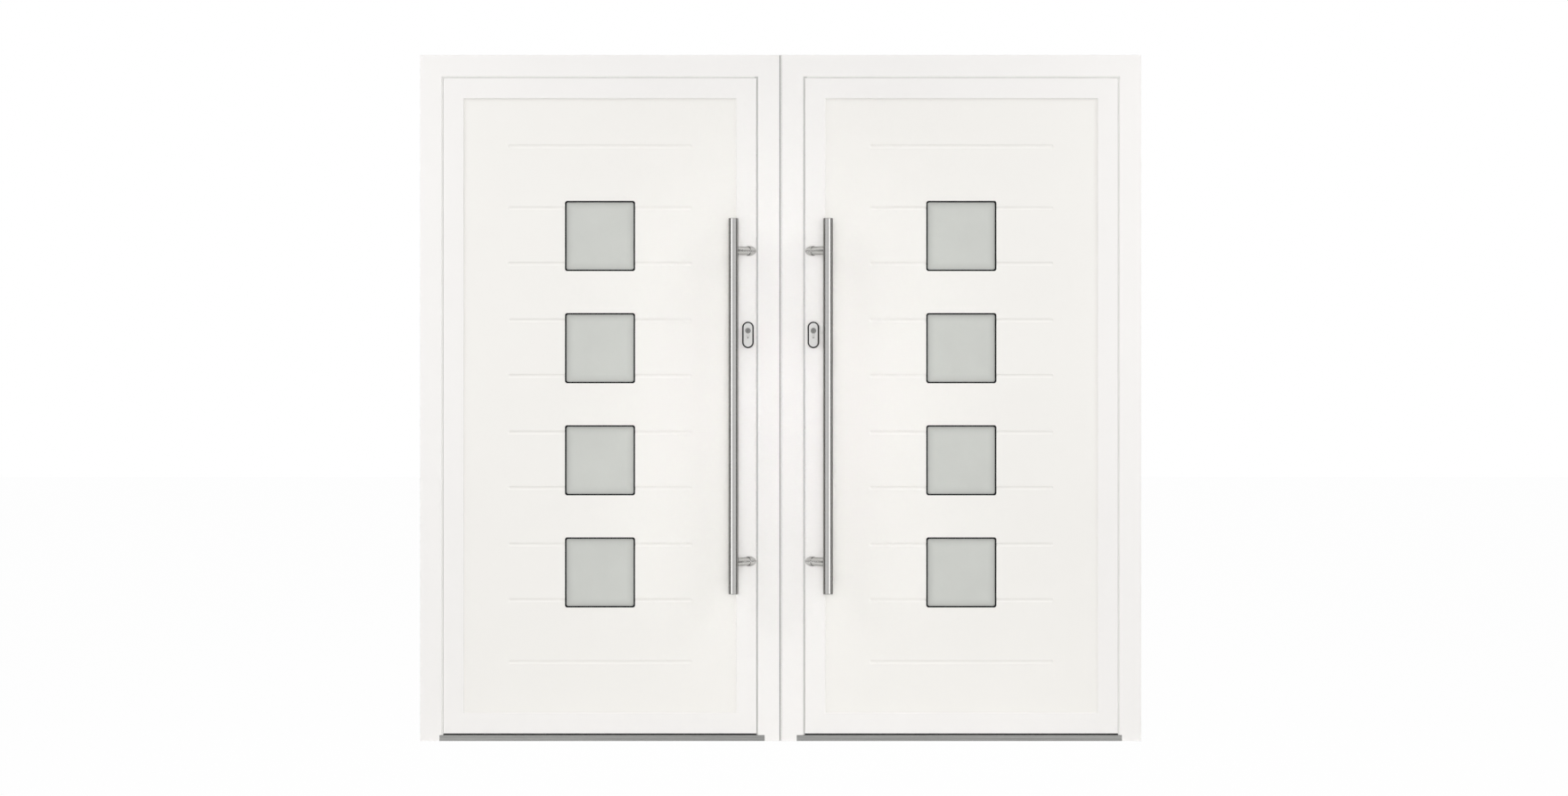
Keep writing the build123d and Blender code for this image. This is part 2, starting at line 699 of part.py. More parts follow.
# Plug with its cam and a key slot in each end
with BuildPart() as cylinder_plug:
    with BuildSketch(facing_out(lock_x, cylinder_front, cylinder_height)):
        Circle(plug_diameter / 2)
    extrude(amount=cylinder_front - cylinder_back)
    with BuildSketch(facing_out(lock_x, lock_depth - cam_thickness / 2, cylinder_height)):
        Circle(cylinder_diameter / 2)
        with Locations((0, -cam_reach / 2)):
            Rectangle(cam_width, cam_reach)
        Circle(cam_reach, mode=Mode.INTERSECT)
    extrude(amount=-cam_thickness)
    for slot_start in (cylinder_front - overrun, cylinder_back - key_slot_depth):
        slot_end = slot_start + key_slot_depth + overrun
        slot_zs = around(cylinder_height, key_slot_height)
        block(around(lock_x, key_slot), (depth(slot_start), depth(slot_end)), slot_zs, Mode.SUBTRACT)

# Sheet-metal lock cases, open at the front for the bolts and above and below for the rods
with BuildPart() as lock_cases:
    inner_span = (case_span[0] + case_wall, case_span[1] - case_wall)
    small_case_back = faceplate_back - small_case_depth
    cases = [(case_back, (case_low, case_high))] + [(small_case_back, zs) for zs in small_case_zs]
    for back, zs in cases:
        block((back, faceplate_back), case_span, zs)
        inner_zs = (zs[0] + case_wall, zs[1] - case_wall)
        block((back + case_wall, faceplate_back - case_wall), inner_span, inner_zs, Mode.SUBTRACT)
    for low, high in bolt_openings:
        front = (faceplate_back - 2 * case_wall, faceplate_back + overrun)
        opening = around(depth(lock_depth), bolt_thickness + 2 * slide_clearance)
        block(front, opening, (low - slide_clearance, high + slide_clearance), Mode.SUBTRACT)
    block((rod_back, faceplate_back + overrun), channel_span, channel_zs, Mode.SUBTRACT)
    with BuildSketch(facing_out(lock_x, lock_depth - case_thickness, cylinder_height)):
        cylinder_outline(cylinder_clearance, 0)
    extrude(amount=-2 * case_thickness, mode=Mode.SUBTRACT)
    with BuildSketch(facing_out(lock_x, lock_depth - case_thickness, lever_height)):
        Circle(journal_diameter / 2 + journal_clearance)
    extrude(amount=-2 * case_thickness, mode=Mode.SUBTRACT)

# Long plate in the leaf's edge, pierced for the bolts
with BuildPart() as lock_faceplate:
    block((faceplate_back, leaf_right), faceplate_span, faceplate_zs)
    for low, high in bolt_openings:
        opening = around(depth(lock_depth), bolt_thickness + 2 * slide_clearance)
        pierced = (low - slide_clearance, high + slide_clearance)
        block((faceplate_back - overrun, leaf_right + overrun), opening, pierced, Mode.SUBTRACT)

# Latch, bevelled on the side that meets the frame when the leaf shuts
with BuildPart() as latch_bolt:
    with BuildSketch(Plane(origin=(leaf_right, 0, latch_zs[0]))):
        with BuildLine():
            Polyline(
                (-latch_body, bolt_span[0]),
                (0, bolt_span[0]),
                (latch_throw, bolt_span[1] - latch_nose),
                (latch_throw, bolt_span[1]),
                (-latch_body, bolt_span[1]),
                close=True,
            )
        make_face()
    extrude(amount=latch_height)

# Main bolt and the two auxiliary bolts, drawn back flush with the faceplate
with BuildPart() as lock_bolts:
    block((leaf_right - bolt_length, leaf_right), bolt_span, main_bolt_zs)
    for zs in small_bolt_zs:
        block((leaf_right - small_bolt_length, leaf_right), bolt_span, zs)

# Strips behind the faceplate that carry the key's turn to the auxiliary bolts
with BuildPart() as drive_rods:
    rod_front = faceplate_back - channel_clearance
    for zs in (lower_rod_zs, upper_rod_zs):
        block((rod_front - rod_thickness, rod_front), rod_span, zs)

# Follower in the main case, with a toe towards the latch
with BuildPart() as lock_follower:
    hub_length = case_thickness - 2 * case_wall - 2 * hub_clearance
    with BuildSketch(facing_out(lock_x, lock_depth - hub_length / 2, lever_height)):
        Circle(hub_diameter / 2)
        with Locations((0, toe_reach / 2)):
            Rectangle(toe_width, toe_reach)
    extrude(amount=-hub_length)
    with BuildSketch(facing_out(lock_x, lock_depth - case_thickness / 2, lever_height)):
        Circle(journal_diameter / 2)
    extrude(amount=-case_thickness)
    with BuildSketch(facing_out(lock_x, lock_depth - case_thickness, lever_height)):
        Rectangle(spindle_side, spindle_side)
    extrude(amount=-2 * case_thickness, mode=Mode.SUBTRACT)

# Inside lever: a neck that bends into a level grip, with the square spindle
neck_start = frame_depth + neck_gap
neck_end = frame_depth + backplate_thickness + neck_length
with BuildPart() as lever_handle:
    with BuildLine() as lever_line:
        FilletPolyline(
            (lock_x, depth(neck_start), lever_height),
            (lock_x, depth(neck_end), lever_height),
            (lock_x - grip_length, depth(neck_end), lever_height),
            radius=grip_bend,
        )
    with BuildSketch(Plane(origin=(lock_x, depth(neck_start), lever_height), z_dir=(0, 1, 0))):
        Circle(neck_diameter / 2)
    sweep(path=lever_line.wire())
    fillet(faces().sort_by(Axis.X)[0].edges(), radius=grip_edge)
    spindle_zs = around(lever_height, spindle_side)
    block(around(lock_x, spindle_side), (case_span[0], depth(neck_start + neck_gap)), spindle_zs)

# Hinges: the frame carries the outer knuckles and the pin, the leaf the middle knuckle
hinge_heights = [leaf_bottom + leaf_height * share for share in hinge_shares]
web_ys = (hinge_y - knuckle_diameter / 2, inside_face + hinge_plate_thickness)
hinge_height = 3 * knuckle_height + knuckle_gap


def knuckle(low, height):
    """Barrel of a hinge with its bore, from a height upwards."""
    with BuildSketch(Plane(origin=(hinge_x, hinge_y, low))) as barrel:
        Circle(knuckle_diameter / 2)
    extrude(barrel.sketch, amount=height)


def hinge_plate(plate_middle, height):
    """Screwed plate of a hinge on the inside face, with countersunk holes."""
    flush = Plane(origin=(plate_middle, inside_face, height), x_dir=(0, 0, 1), z_dir=(0, 1, 0))
    with BuildSketch(flush) as outline:
        RectangleRounded(hinge_height, hinge_plate_width, hinge_plate_corner)
    extrude(outline.sketch, amount=hinge_plate_thickness)
    top = flush.offset(hinge_plate_thickness)
    for step in (-screw_pitch, 0, screw_pitch):
        with Locations(Plane(top.origin + top.x_dir * step, x_dir=top.x_dir, z_dir=top.z_dir)):
            CounterSinkHole(screw_hole / 2, screw_head / 2, depth=hinge_plate_thickness)


def bore(low):
    """Clear the pin's hole through a whole hinge."""
    with BuildSketch(Plane(origin=(hinge_x, hinge_y, low - overrun))) as hole:
        Circle(pin_diameter / 2 + pin_clearance)
    extrude(hole.sketch, amount=hinge_height + 2 * overrun, mode=Mode.SUBTRACT)


with BuildPart() as hinge_frame_leaves:
    for height in hinge_heights:
        low = height - hinge_height / 2
        plate_end = hinge_x - hinge_plate_setback
        hinge_plate(plate_end - hinge_plate_width / 2, height)
        for start in (low, low + hinge_height - knuckle_height):
            knuckle(start, knuckle_height)
            web_xs = (plate_end - hinge_plate_corner, hinge_x)
            block(web_xs, web_ys, (start, start + knuckle_height))
        bore(low)
    mirror(about=Plane.YZ)

with BuildPart() as hinge_leaf_leaves:
    for height in hinge_heights:
        low = height - hinge_height / 2
        plate_end = hinge_x + hinge_plate_setback
        hinge_plate(plate_end + hinge_plate_width / 2, height)
        knuckle(low + knuckle_height, knuckle_height)
        web_xs = (hinge_x, plate_end + hinge_plate_corner)
        block(web_xs, web_ys, (low + knuckle_height, low + 2 * knuckle_height))
        bore(low)

with BuildPart() as hinge_pins:
    for height in hinge_heights:
        low = height - hinge_height / 2
        with BuildSketch(Plane(origin=(hinge_x, hinge_y, low))):
            Circle(pin_diameter / 2)
        extrude(amount=hinge_height)
        for start in (low - cap_height, low + hinge_height):
            with BuildSketch(Plane(origin=(hinge_x, hinge_y, start))):
                Circle(cap_diameter / 2)
            extrude(amount=cap_height)
    cap_rims = [rim for rim in edges().filter_by(GeomType.CIRCLE) if rim.radius > pin_diameter / 2]
    fillet(cap_rims, radius=cap_edge)
    mirror(about=Plane.YZ)

# Pieces of the whole pair, one file each
shared_pieces = {
    "coupling_profile": coupling_profile,
    "frame_gaskets": frame_gaskets,
    "outer_seals": outer_seals,
    "strike_plates": strike_plates,
    "hinge_frame_leaves": hinge_frame_leaves,
    "hinge_pins": hinge_pins,
}

# Pieces of the left unit, each with a mirrored twin in the right one
unit_pieces = {
    "hinge_jamb": hinge_jamb,
    "lock_jamb": lock_jamb,
    "frame_head": frame_head,
    "threshold": threshold,
    "hinge_stile": hinge_stile,
    "lock_stile": lock_stile,
    "top_rail": top_rail,
    "bottom_rail": bottom_rail,
    "infill_panel": infill_panel,
    "panel_beads": panel_beads,
    "window_units": window_units,
    "window_gaskets": window_gaskets,
    "bottom_seal": bottom_seal,
    "pull_bar": pull_bar,
    "pull_posts": pull_posts,
    "outer_escutcheon": outer_escutcheon,
    "inner_backplate": inner_backplate,
    "cylinder_body": cylinder_body,
    "cylinder_plug": cylinder_plug,
    "lock_cases": lock_cases,
    "lock_faceplate": lock_faceplate,
    "latch_bolt": latch_bolt,
    "lock_bolts": lock_bolts,
    "drive_rods": drive_rods,
    "lock_follower": lock_follower,
    "lever_handle": lever_handle,
    "hinge_leaf_leaves": hinge_leaf_leaves,
}

os.makedirs("parts", exist_ok=True)
for name, piece in shared_pieces.items():
    piece.part.label = name
    export_step(piece.part, f"parts/{name}.step")
for name, piece in unit_pieces.items():
    piece.part.label = f"{name}_left"
    export_step(piece.part, f"parts/{name}_left.step")
    twin = mirror(piece.part, about=Plane.YZ)
    twin.label = f"{name}_right"
    export_step(twin, f"parts/{name}_right.step")
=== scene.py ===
"""Looks of a pair of white entrance doors: finishes, screws, light and camera, all in metres."""
import json
import math

import bmesh
import bpy
from mathutils import Matrix, Vector


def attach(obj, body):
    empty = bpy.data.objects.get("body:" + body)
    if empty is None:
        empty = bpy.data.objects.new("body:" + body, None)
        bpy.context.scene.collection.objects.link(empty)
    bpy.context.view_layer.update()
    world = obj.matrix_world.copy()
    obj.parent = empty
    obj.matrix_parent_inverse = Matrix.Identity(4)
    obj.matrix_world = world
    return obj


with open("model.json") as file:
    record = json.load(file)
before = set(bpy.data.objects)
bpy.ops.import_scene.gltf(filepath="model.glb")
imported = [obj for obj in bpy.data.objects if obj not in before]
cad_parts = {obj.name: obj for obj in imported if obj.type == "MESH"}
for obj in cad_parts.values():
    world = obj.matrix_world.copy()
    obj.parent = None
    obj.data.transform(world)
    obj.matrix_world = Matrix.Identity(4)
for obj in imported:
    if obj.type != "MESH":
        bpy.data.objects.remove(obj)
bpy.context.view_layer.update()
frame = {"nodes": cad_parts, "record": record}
nodes = frame["nodes"]
scene = bpy.context.scene
scene.view_settings.view_transform = "Standard"

MM = 0.001
SIDES = (("left", -1.0), ("right", 1.0))
OUTSIDE_FACE = -35.0 * MM
INSIDE_FACE = 35.0 * MM
LOCK_X = 100.0 * MM


# Colours

def linear(*levels):
    """Linear colour of display levels from 0 to 255."""
    shares = [level / 255.0 for level in levels]
    return tuple(x / 12.92 if x <= 0.04045 else ((x + 0.055) / 1.055) ** 2.4 for x in shares) + (1.0,)


def shade(colour, factor):
    """A colour made lighter or darker."""
    return tuple(min(1.0, part * factor) for part in colour[:3]) + (1.0,)


FRAME_WHITE = linear(245, 243, 241)
LEAF_WHITE = linear(244, 242, 240)
PANEL_WHITE = linear(243, 241, 237)
SILL_GREY = linear(150, 150, 148)
GLASS_GREY = linear(208, 210, 205)
SEAL_WHITE = linear(242, 242, 239)
POLYAMIDE_AND_GROOVE_SHADE = (0.022, 0.022, 0.024, 1.0)
RUBBER_DARK = (0.005, 0.005, 0.006, 1.0)
RUBBER_LIGHT = (0.010, 0.010, 0.011, 1.0)
# Handle steel in a shaded and a lit copy: the bars' steel is painted darker and the posts' lighter, and the
# dark edge tint paints shade on metal edges
STEEL = (0.40, 0.396, 0.387, 1.0)
POST_STEEL_LIT = (0.66, 0.655, 0.64, 1.0)
SATIN_STEEL = (0.62, 0.616, 0.604, 1.0)
DARK_STEEL_AND_RIM_REFLECTION = (0.065, 0.064, 0.062, 1.0)
NICKEL = (0.56, 0.555, 0.54, 1.0)
NICKEL_PAINTED_REFLECTION = (0.24, 0.238, 0.23, 1.0)
ZINC_DARK = (0.42, 0.43, 0.44, 1.0)
ZINC_LIGHT = (0.58, 0.58, 0.57, 1.0)
EDGE_SHADE_TINT = (0.1, 0.1, 0.1, 1.0)


# Finishes, all procedural and laid out in object space

# A colour mix node's sockets: the two colours and the result
MIX_FIRST, MIX_SECOND, MIX_RESULT = 6, 7, 2


class Finish:
    """One material's nodes round its principled shader."""

    def __init__(self, name):
        self.material = bpy.data.materials.new(name)
        self.material.use_nodes = True
        self.tree = self.material.node_tree
        self.shader = self.tree.nodes["Principled BSDF"]
        coordinates = self.add("ShaderNodeTexCoord")
        self.place = coordinates.outputs["Object"]
        self.normal = coordinates.outputs["Normal"]

    def add(self, kind, **inputs):
        """New node with some of its inputs set."""
        node = self.tree.nodes.new(kind)
        for name, value in inputs.items():
            node.inputs[name.replace("_", " ")].default_value = value
        return node

    def join(self, source, target):
        """Link from an output to an input."""
        self.tree.links.new(source, target)

    def set(self, **values):
        """Fixed values on the shader's own sockets."""
        for name, value in values.items():
            self.shader.inputs[name.replace("_", " ")].default_value = value

    def feed(self, name, source):
        """Value from other nodes for one of the shader's sockets."""
        self.join(source, self.shader.inputs[name])

    def stretched(self, scale):
        """Object coordinates with their own scale along each axis, for drawn or brushed lines."""
        mapping = self.add("ShaderNodeMapping", Scale=scale)
        self.join(self.place, mapping.inputs["Vector"])
        return mapping.outputs["Vector"]

    def noise(self, scale, detail=2.0, vector=None):
        """Noise with a number of cells to the metre, or along a vector of its own."""
        noise = self.add("ShaderNodeTexNoise", Scale=scale, Detail=detail)
        self.join(vector or self.place, noise.inputs["Vector"])
        return noise.outputs["Fac"]

    def spread(self, value, low, high, start=0.3, end=0.7):
        """Map a noise's usual span to the span between two values."""
        spread = self.add("ShaderNodeMapRange", From_Min=start, From_Max=end, To_Min=low, To_Max=high)
        self.join(value, spread.inputs["Value"])
        return spread.outputs["Result"]

    def tones(self, value, first, second, start=0.3, end=0.7):
        """Colour that runs between two tones."""
        ramp = self.add("ShaderNodeValToRGB")
        ramp.color_ramp.elements[0].position = start
        ramp.color_ramp.elements[0].color = first
        ramp.color_ramp.elements[1].position = end
        ramp.color_ramp.elements[1].color = second
        self.join(value, ramp.inputs["Fac"])
        return ramp.outputs["Color"]

    def blended(self, mask, first, second):
        """Second colour where the mask is 1; each may be a socket or a fixed colour."""
        mix = self.add("ShaderNodeMix")
        mix.data_type = "RGBA"
        self.join(mask, mix.inputs[0])
        for index, colour in ((MIX_FIRST, first), (MIX_SECOND, second)):
            if isinstance(colour, tuple):
                mix.inputs[index].default_value = colour
            else:
                self.join(colour, mix.inputs[index])
        return mix.outputs[MIX_RESULT]

    def bump(self, height, strength, distance, under=None):
        """Normal of a bumpy surface, which may lie over another one."""
        bump = self.add("ShaderNodeBump", Strength=strength, Distance=distance)
        self.join(height, bump.inputs["Height"])
        if under:
            self.join(under, bump.inputs["Normal"])
        return bump.outputs["Normal"]

    def axes(self, vector):
        """The three parts of a vector."""
        split = self.add("ShaderNodeSeparateXYZ")
        self.join(vector, split.inputs["Vector"])
        return split.outputs

    def math(self, operation, *values):
        """Result of a calculation on sockets and fixed numbers."""
        node = self.add("ShaderNodeMath")
        node.operation = operation
        for value, socket in zip(values, node.inputs):
            if isinstance(value, float):
                socket.default_value = value
            else:
                self.join(value, socket)
        return node.outputs["Value"]

    def band(self, axis, middle, half):
        """Mask that is 1 within a band of one coordinate."""
        return self.math("COMPARE", self.axes(self.place)[axis], middle, half)

    def round_spot(self, x, z, radius):
        """Mask that is 1 near an axis along Y on either side, with a soft rim."""
        axes = self.axes(self.place)
        flat = self.add("ShaderNodeCombineXYZ")
        self.join(self.math("ABSOLUTE", axes["X"]), flat.inputs["X"])
        self.join(axes["Z"], flat.inputs["Z"])
        distance = self.add("ShaderNodeVectorMath")
        distance.operation = "DISTANCE"
        self.join(flat.outputs["Vector"], distance.inputs[0])
        distance.inputs[1].default_value = (x, 0.0, z)
        return self.spread(distance.outputs["Value"], 1.0, 0.0, 0.9 * radius, 1.1 * radius)

    def pane_edge_shade(self, x, low, pitch, start, end):
        """Mask that rises towards the edges of square panes in a row along Z, on either side, for painted
        shade there.
        """
        axes = self.axes(self.place)
        across = self.math("SUBTRACT", self.math("ABSOLUTE", axes["X"]), x)
        above = self.math("SUBTRACT", axes["Z"], low - pitch / 2)
        along = self.math("SUBTRACT", self.math("MODULO", above, pitch), pitch / 2)
        reach = self.math("MAXIMUM", self.math("ABSOLUTE", across), self.math("ABSOLUTE", along))
        return self.spread(reach, 0.0, 1.0, start, end)

    def painted_rim_reflection(self):
        """Mask that is 1 where a plate's rounded rim turns away from its outside face, for a painted dark
        reflection there.
        """
        return self.spread(self.axes(self.normal)["Y"], 0.0, 1.0, -0.995, -0.95)


# Dark bands of the depth, as a middle and a half width: polyamide strips in the profiles, and painted shade
# for the coupling's grooves, which leaves the coupling white only at the ends of its noses
INSULATING_STRIP = (-13.0 * MM, 5.9 * MM)
COUPLING_GROOVE_SHADE = (0.0, 33.0 * MM)


def powder_coat(name, tone, roughness=0.4, dark=None):
    """White powder coat with a fine orange peel; a band of the depth can be dark: polyamide strips in the
    profiles, painted shade in the coupling's grooves.
    """
    finish = Finish(name)
    clouds = finish.tones(finish.noise(2.2, detail=3.0), shade(tone, 0.985), tone)
    specks = finish.spread(finish.noise(1100.0, detail=1.0), 0.0, 0.10)
    colour = finish.blended(specks, clouds, shade(tone, 0.9))
    if dark:
        colour = finish.blended(finish.band("Y", *dark), colour, POLYAMIDE_AND_GROOVE_SHADE)
    finish.feed("Base Color", colour)
    finish.feed("Roughness", finish.spread(finish.noise(45.0), roughness - 0.05, roughness + 0.05))
    peel = finish.bump(finish.noise(520.0), strength=0.10, distance=0.12 * MM)
    grit = finish.noise(2600.0, detail=1.0)
    finish.feed("Normal", finish.bump(grit, strength=0.05, distance=0.05 * MM, under=peel))
    finish.set(Specular_IOR_Level=0.4)
    return finish.material


# Height of the key and radius of the plug round it, and cells to the metre of each kind of brushing
KEY_Z = 1256.0 * MM
KEY_SPOT = 8.8 * MM
BAR_BRUSHING = (60.0, 60.0, 2600.0)
PLATE_BRUSHING = (90.0, 90.0, 1400.0)
POST_BRUSHING = (900.0, 900.0, 90.0)
TURNING = (900.0, 60.0, 900.0)


def brushed_metal(name, tone, brushing, roughness, bump=0.03, key_reflection=None, rim=None):
    """Brushed metal, with painted dark reflections round the key and on a plate's rounded rim where their
    tones are given.
    """
    finish = Finish(name)
    lines = finish.noise(1.0, detail=3.0, vector=finish.stretched(brushing))
    stains = finish.noise(14.0, detail=3.0)
    colour = finish.tones(lines, shade(tone, 0.92), shade(tone, 1.06))
    colour = finish.blended(finish.spread(stains, 0.0, 0.2), colour, shade(tone, 0.9))
    if key_reflection:
        # Painted dark reflection on the plug round the key
        colour = finish.blended(finish.round_spot(LOCK_X, KEY_Z, KEY_SPOT), colour, key_reflection)
    if rim:
        # Painted dark reflection on the plate's rounded rim
        colour = finish.blended(finish.painted_rim_reflection(), colour, rim)
    finish.feed("Base Color", colour)
    finish.feed("Roughness", finish.spread(lines, roughness - 0.05, roughness + 0.06))
    finish.feed("Normal", finish.bump(lines, strength=bump, distance=0.05 * MM))
    # The dark edge tint paints shade on metal where it turns away at grazing angles
    finish.set(Metallic=1.0, Specular_Tint=EDGE_SHADE_TINT)
    return finish.material


def anodised_sill(name):
    """Grey anodised aluminium, drawn along the sill, with darker scuffs."""
    finish = Finish(name)
    lines = finish.noise(1.0, detail=4.0, vector=finish.stretched((3.0, 900.0, 700.0)))
    scuffs = finish.noise(1.0, detail=4.0, vector=finish.stretched((35.0, 90.0, 90.0)))
    colour = finish.tones(lines, shade(SILL_GREY, 0.72), shade(SILL_GREY, 1.12))
    colour = finish.blended(finish.spread(scuffs, 0.0, 0.3), colour, shade(SILL_GREY, 0.8))
    finish.feed("Base Color", colour)
    finish.feed("Roughness", finish.spread(lines, 0.36, 0.54))
    finish.feed("Normal", finish.bump(lines, strength=0.12, distance=0.08 * MM))
    finish.set(Metallic=0.6)
    return finish.material


# Place of the lowest pane, distance from pane to pane, and where a pane's painted edge shade starts and
# ends
PANE_X = 553.0 * MM
PANE_Z = 515.75 * MM
PANE_PITCH = 343.5 * MM
PANE_EDGE_SHADE = (80.0 * MM, 107.0 * MM)


def frosted_glass(name):
    """Satin-etched glass: pale grey-green, with a fine grain, and painted shade that darkens each pane
    towards its edges.
    """
    finish = Finish(name)
    grain = finish.noise(1500.0)
    haze = finish.noise(9.0)
    colour = finish.tones(haze, shade(GLASS_GREY, 0.975), shade(GLASS_GREY, 1.02))
    edges = finish.pane_edge_shade(PANE_X, PANE_Z, PANE_PITCH, *PANE_EDGE_SHADE)
    # Painted shade along the pane edges, where the rubber rim's recess shades the glass
    finish.feed("Base Color", finish.blended(edges, colour, shade(GLASS_GREY, 0.88)))
    finish.feed("Roughness", finish.spread(grain, 0.42, 0.58))
    finish.feed("Normal", finish.bump(grain, strength=0.10, distance=0.04 * MM))
    finish.set(Transmission_Weight=0.12, IOR=1.5)
    return finish.material


def black_rubber(name):
    """Matt black rubber with a fine mould texture."""
    finish = Finish(name)
    grain = finish.noise(900.0, detail=3.0)
    finish.feed("Base Color", finish.tones(grain, RUBBER_DARK, RUBBER_LIGHT))
    finish.feed("Roughness", finish.spread(grain, 0.6, 0.8))
    finish.feed("Normal", finish.bump(grain, strength=0.2, distance=0.06 * MM))
    finish.set(Specular_IOR_Level=0.2)
    return finish.material


# How far from the middle the seals on the lock side reach, which are greyer with painted shade
LOCK_SIDE_SHADE = 80.0 * MM


def grey_seal(name):
    """Pale rubber of the outer seals, drawn along their length, with painted shade that makes them greyer
    on the lock side.
    """
    finish = Finish(name)
    lines = finish.noise(1.0, vector=finish.stretched((500.0, 500.0, 6.0)))
    pale = finish.tones(lines, shade(SEAL_WHITE, 0.96), shade(SEAL_WHITE, 1.02))
    grey = finish.tones(lines, shade(SEAL_WHITE, 0.70), shade(SEAL_WHITE, 0.76))
    # Painted shade: the seals near the middle, on the lock side, are greyer
    finish.feed("Base Color", finish.blended(finish.band("X", 0.0, LOCK_SIDE_SHADE), pale, grey))
    finish.feed("Roughness", finish.spread(lines, 0.55, 0.7))
    finish.feed("Normal", finish.bump(lines, strength=0.1, distance=0.05 * MM))
    return finish.material


def zinc_steel(name):
    """Zinc-plated lock parts, slightly blotched."""
    finish = Finish(name)
    blotches = finish.noise(160.0, detail=4.0)
    lines = finish.noise(1.0, detail=3.0, vector=finish.stretched((900.0, 900.0, 30.0)))
    finish.feed("Base Color", finish.tones(blotches, ZINC_DARK, ZINC_LIGHT))
    finish.feed("Roughness", finish.spread(blotches, 0.28, 0.46))
    finish.feed("Normal", finish.bump(lines, strength=0.06, distance=0.05 * MM))
    finish.set(Metallic=1.0)
    return finish.material


finishes = {
    "frame_coat": powder_coat("frame_coat_white", FRAME_WHITE, dark=INSULATING_STRIP),
    "leaf_coat": powder_coat("leaf_coat_white", LEAF_WHITE, dark=INSULATING_STRIP),
    "panel_coat": powder_coat("panel_coat_white", PANEL_WHITE, roughness=0.45),
    # The coupling's recessed web is darkened as painted shade for the seam's grooves
    "coupling_coat": powder_coat("coupling_coat_white", FRAME_WHITE, dark=COUPLING_GROOVE_SHADE),
    "hinge_coat": powder_coat("hinge_coat_white", FRAME_WHITE, roughness=0.34),
    "sill_anodised": anodised_sill("sill_anodised_grey"),
    "frosted_glass": frosted_glass("frosted_glass_satin"),
    "black_rubber": black_rubber("black_rubber_matt"),
    "grey_seal": grey_seal("grey_seal_pale"),
    "brushed_stainless": brushed_metal("stainless_brushed", STEEL, BAR_BRUSHING, 0.13, bump=0.015),
    "cylinder_nickel": brushed_metal("nickel_satin", NICKEL, TURNING, 0.30, key_reflection=NICKEL_PAINTED_REFLECTION),
    "zinc_steel": zinc_steel("zinc_plated"),
}
# The escutcheon's rounded rim gets a painted dark reflection
plate_steel = brushed_metal("stainless_satin_plate", SATIN_STEEL, PLATE_BRUSHING, 0.34, rim=DARK_STEEL_AND_RIM_REFLECTION)
# Posts in a lit copy of the handle's steel, painted lighter than the bars
post_steel_lit = brushed_metal("stainless_post_lit_copy", POST_STEEL_LIT, POST_BRUSHING, 0.24)
pin_steel = brushed_metal("steel_dark_pin", DARK_STEEL_AND_RIM_REFLECTION, TURNING, 0.35)
own_finishes = {}
for side, _ in SIDES:
    own_finishes[f"outer_escutcheon_{side}"] = plate_steel
    own_finishes[f"pull_posts_{side}"] = post_steel_lit
for part in frame["record"]["subparts"]:
    slots = nodes[part["node"]].data.materials
    slots.clear()
    slots.append(own_finishes.get(part["node"], finishes[part["material_slot"]]))


# Small pieces

RING_POINTS = 24
HEXAGON = 6


def add_rings(bm, matrix, rings):
    """Closed shell through rings of equally many points, capped at both ends."""
    loops = [[bm.verts.new(matrix @ Vector(point)) for point in ring] for ring in rings]
    for lower, upper in zip(loops, loops[1:]):
        for index in range(len(lower)):
            after = (index + 1) % len(lower)
            bm.faces.new((lower[index], lower[after], upper[after], upper[index]))
    bm.faces.new(list(reversed(loops[0])))
    bm.faces.new(loops[-1])


def circle_ring(radius, height, count=RING_POINTS):
    """Points spread evenly round a circle."""
    turns = [2.0 * math.pi * step / count for step in range(count)]
    return [(radius * math.cos(turn), radius * math.sin(turn), height) for turn in turns]


def hexagon_ring(radius, height):
    """Points spread evenly along a hexagon's sides."""
    corners = circle_ring(radius, height, HEXAGON)
    per_side = RING_POINTS // HEXAGON
    ring = []
    for index, corner in enumerate(corners):
        following = Vector(corners[(index + 1) % HEXAGON])
        ring += [tuple(Vector(corner).lerp(following, step / per_side)) for step in range(per_side)]
    return ring


def facing(place, outward):
    """Frame at a place with its Z along the outward direction."""
    turn = Vector((0.0, 0.0, 1.0)).rotation_difference(Vector(outward)).to_matrix().to_4x4()
    return Matrix.Translation(Vector(place)) @ turn


def add_screw(bm, place, outward, radius, rise, sink):
    """Countersunk screw head with a low dome and a hexagon socket."""
    add_rings(bm, facing(place, outward), [
        circle_ring(0.55 * radius, -sink),
        circle_ring(0.97 * radius, -0.04 * radius),
        circle_ring(radius, 0.3 * rise),
        circle_ring(0.92 * radius, 0.62 * rise),
        circle_ring(0.7 * radius, 0.9 * rise),
        hexagon_ring(0.5 * radius, rise),
        hexagon_ring(0.46 * radius, rise - 0.12 * radius),
        hexagon_ring(0.44 * radius, rise - 0.55 * radius),
    ])


def add_pin(bm, place, outward, radius, rise, sink):
    """Round pin with a dished end."""
    add_rings(bm, facing(place, outward), [
        circle_ring(radius, -sink),
        circle_ring(radius, 0.6 * rise),
        circle_ring(0.85 * radius, rise),
        circle_ring(0.5 * radius, 0.5 * rise),
        circle_ring(0.15 * radius, 0.2 * rise),
    ])


def piece(name, bm, body, slot, material=None):
    """Object of a finished mesh that rides on a body, in its slot's finish or one of its own."""
    bmesh.ops.recalc_face_normals(bm, faces=bm.faces)
    mesh = bpy.data.meshes.new(name)
    bm.to_mesh(mesh)
    bm.free()
    mesh.materials.append(material or finishes[slot])
    made = bpy.data.objects.new(name, mesh)
    scene.collection.objects.link(made)
    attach(made, body)


# Directions towards the inside and the outside of the doors
INWARD = (0, 1, 0)
OUTWARD = (0, -1, 0)

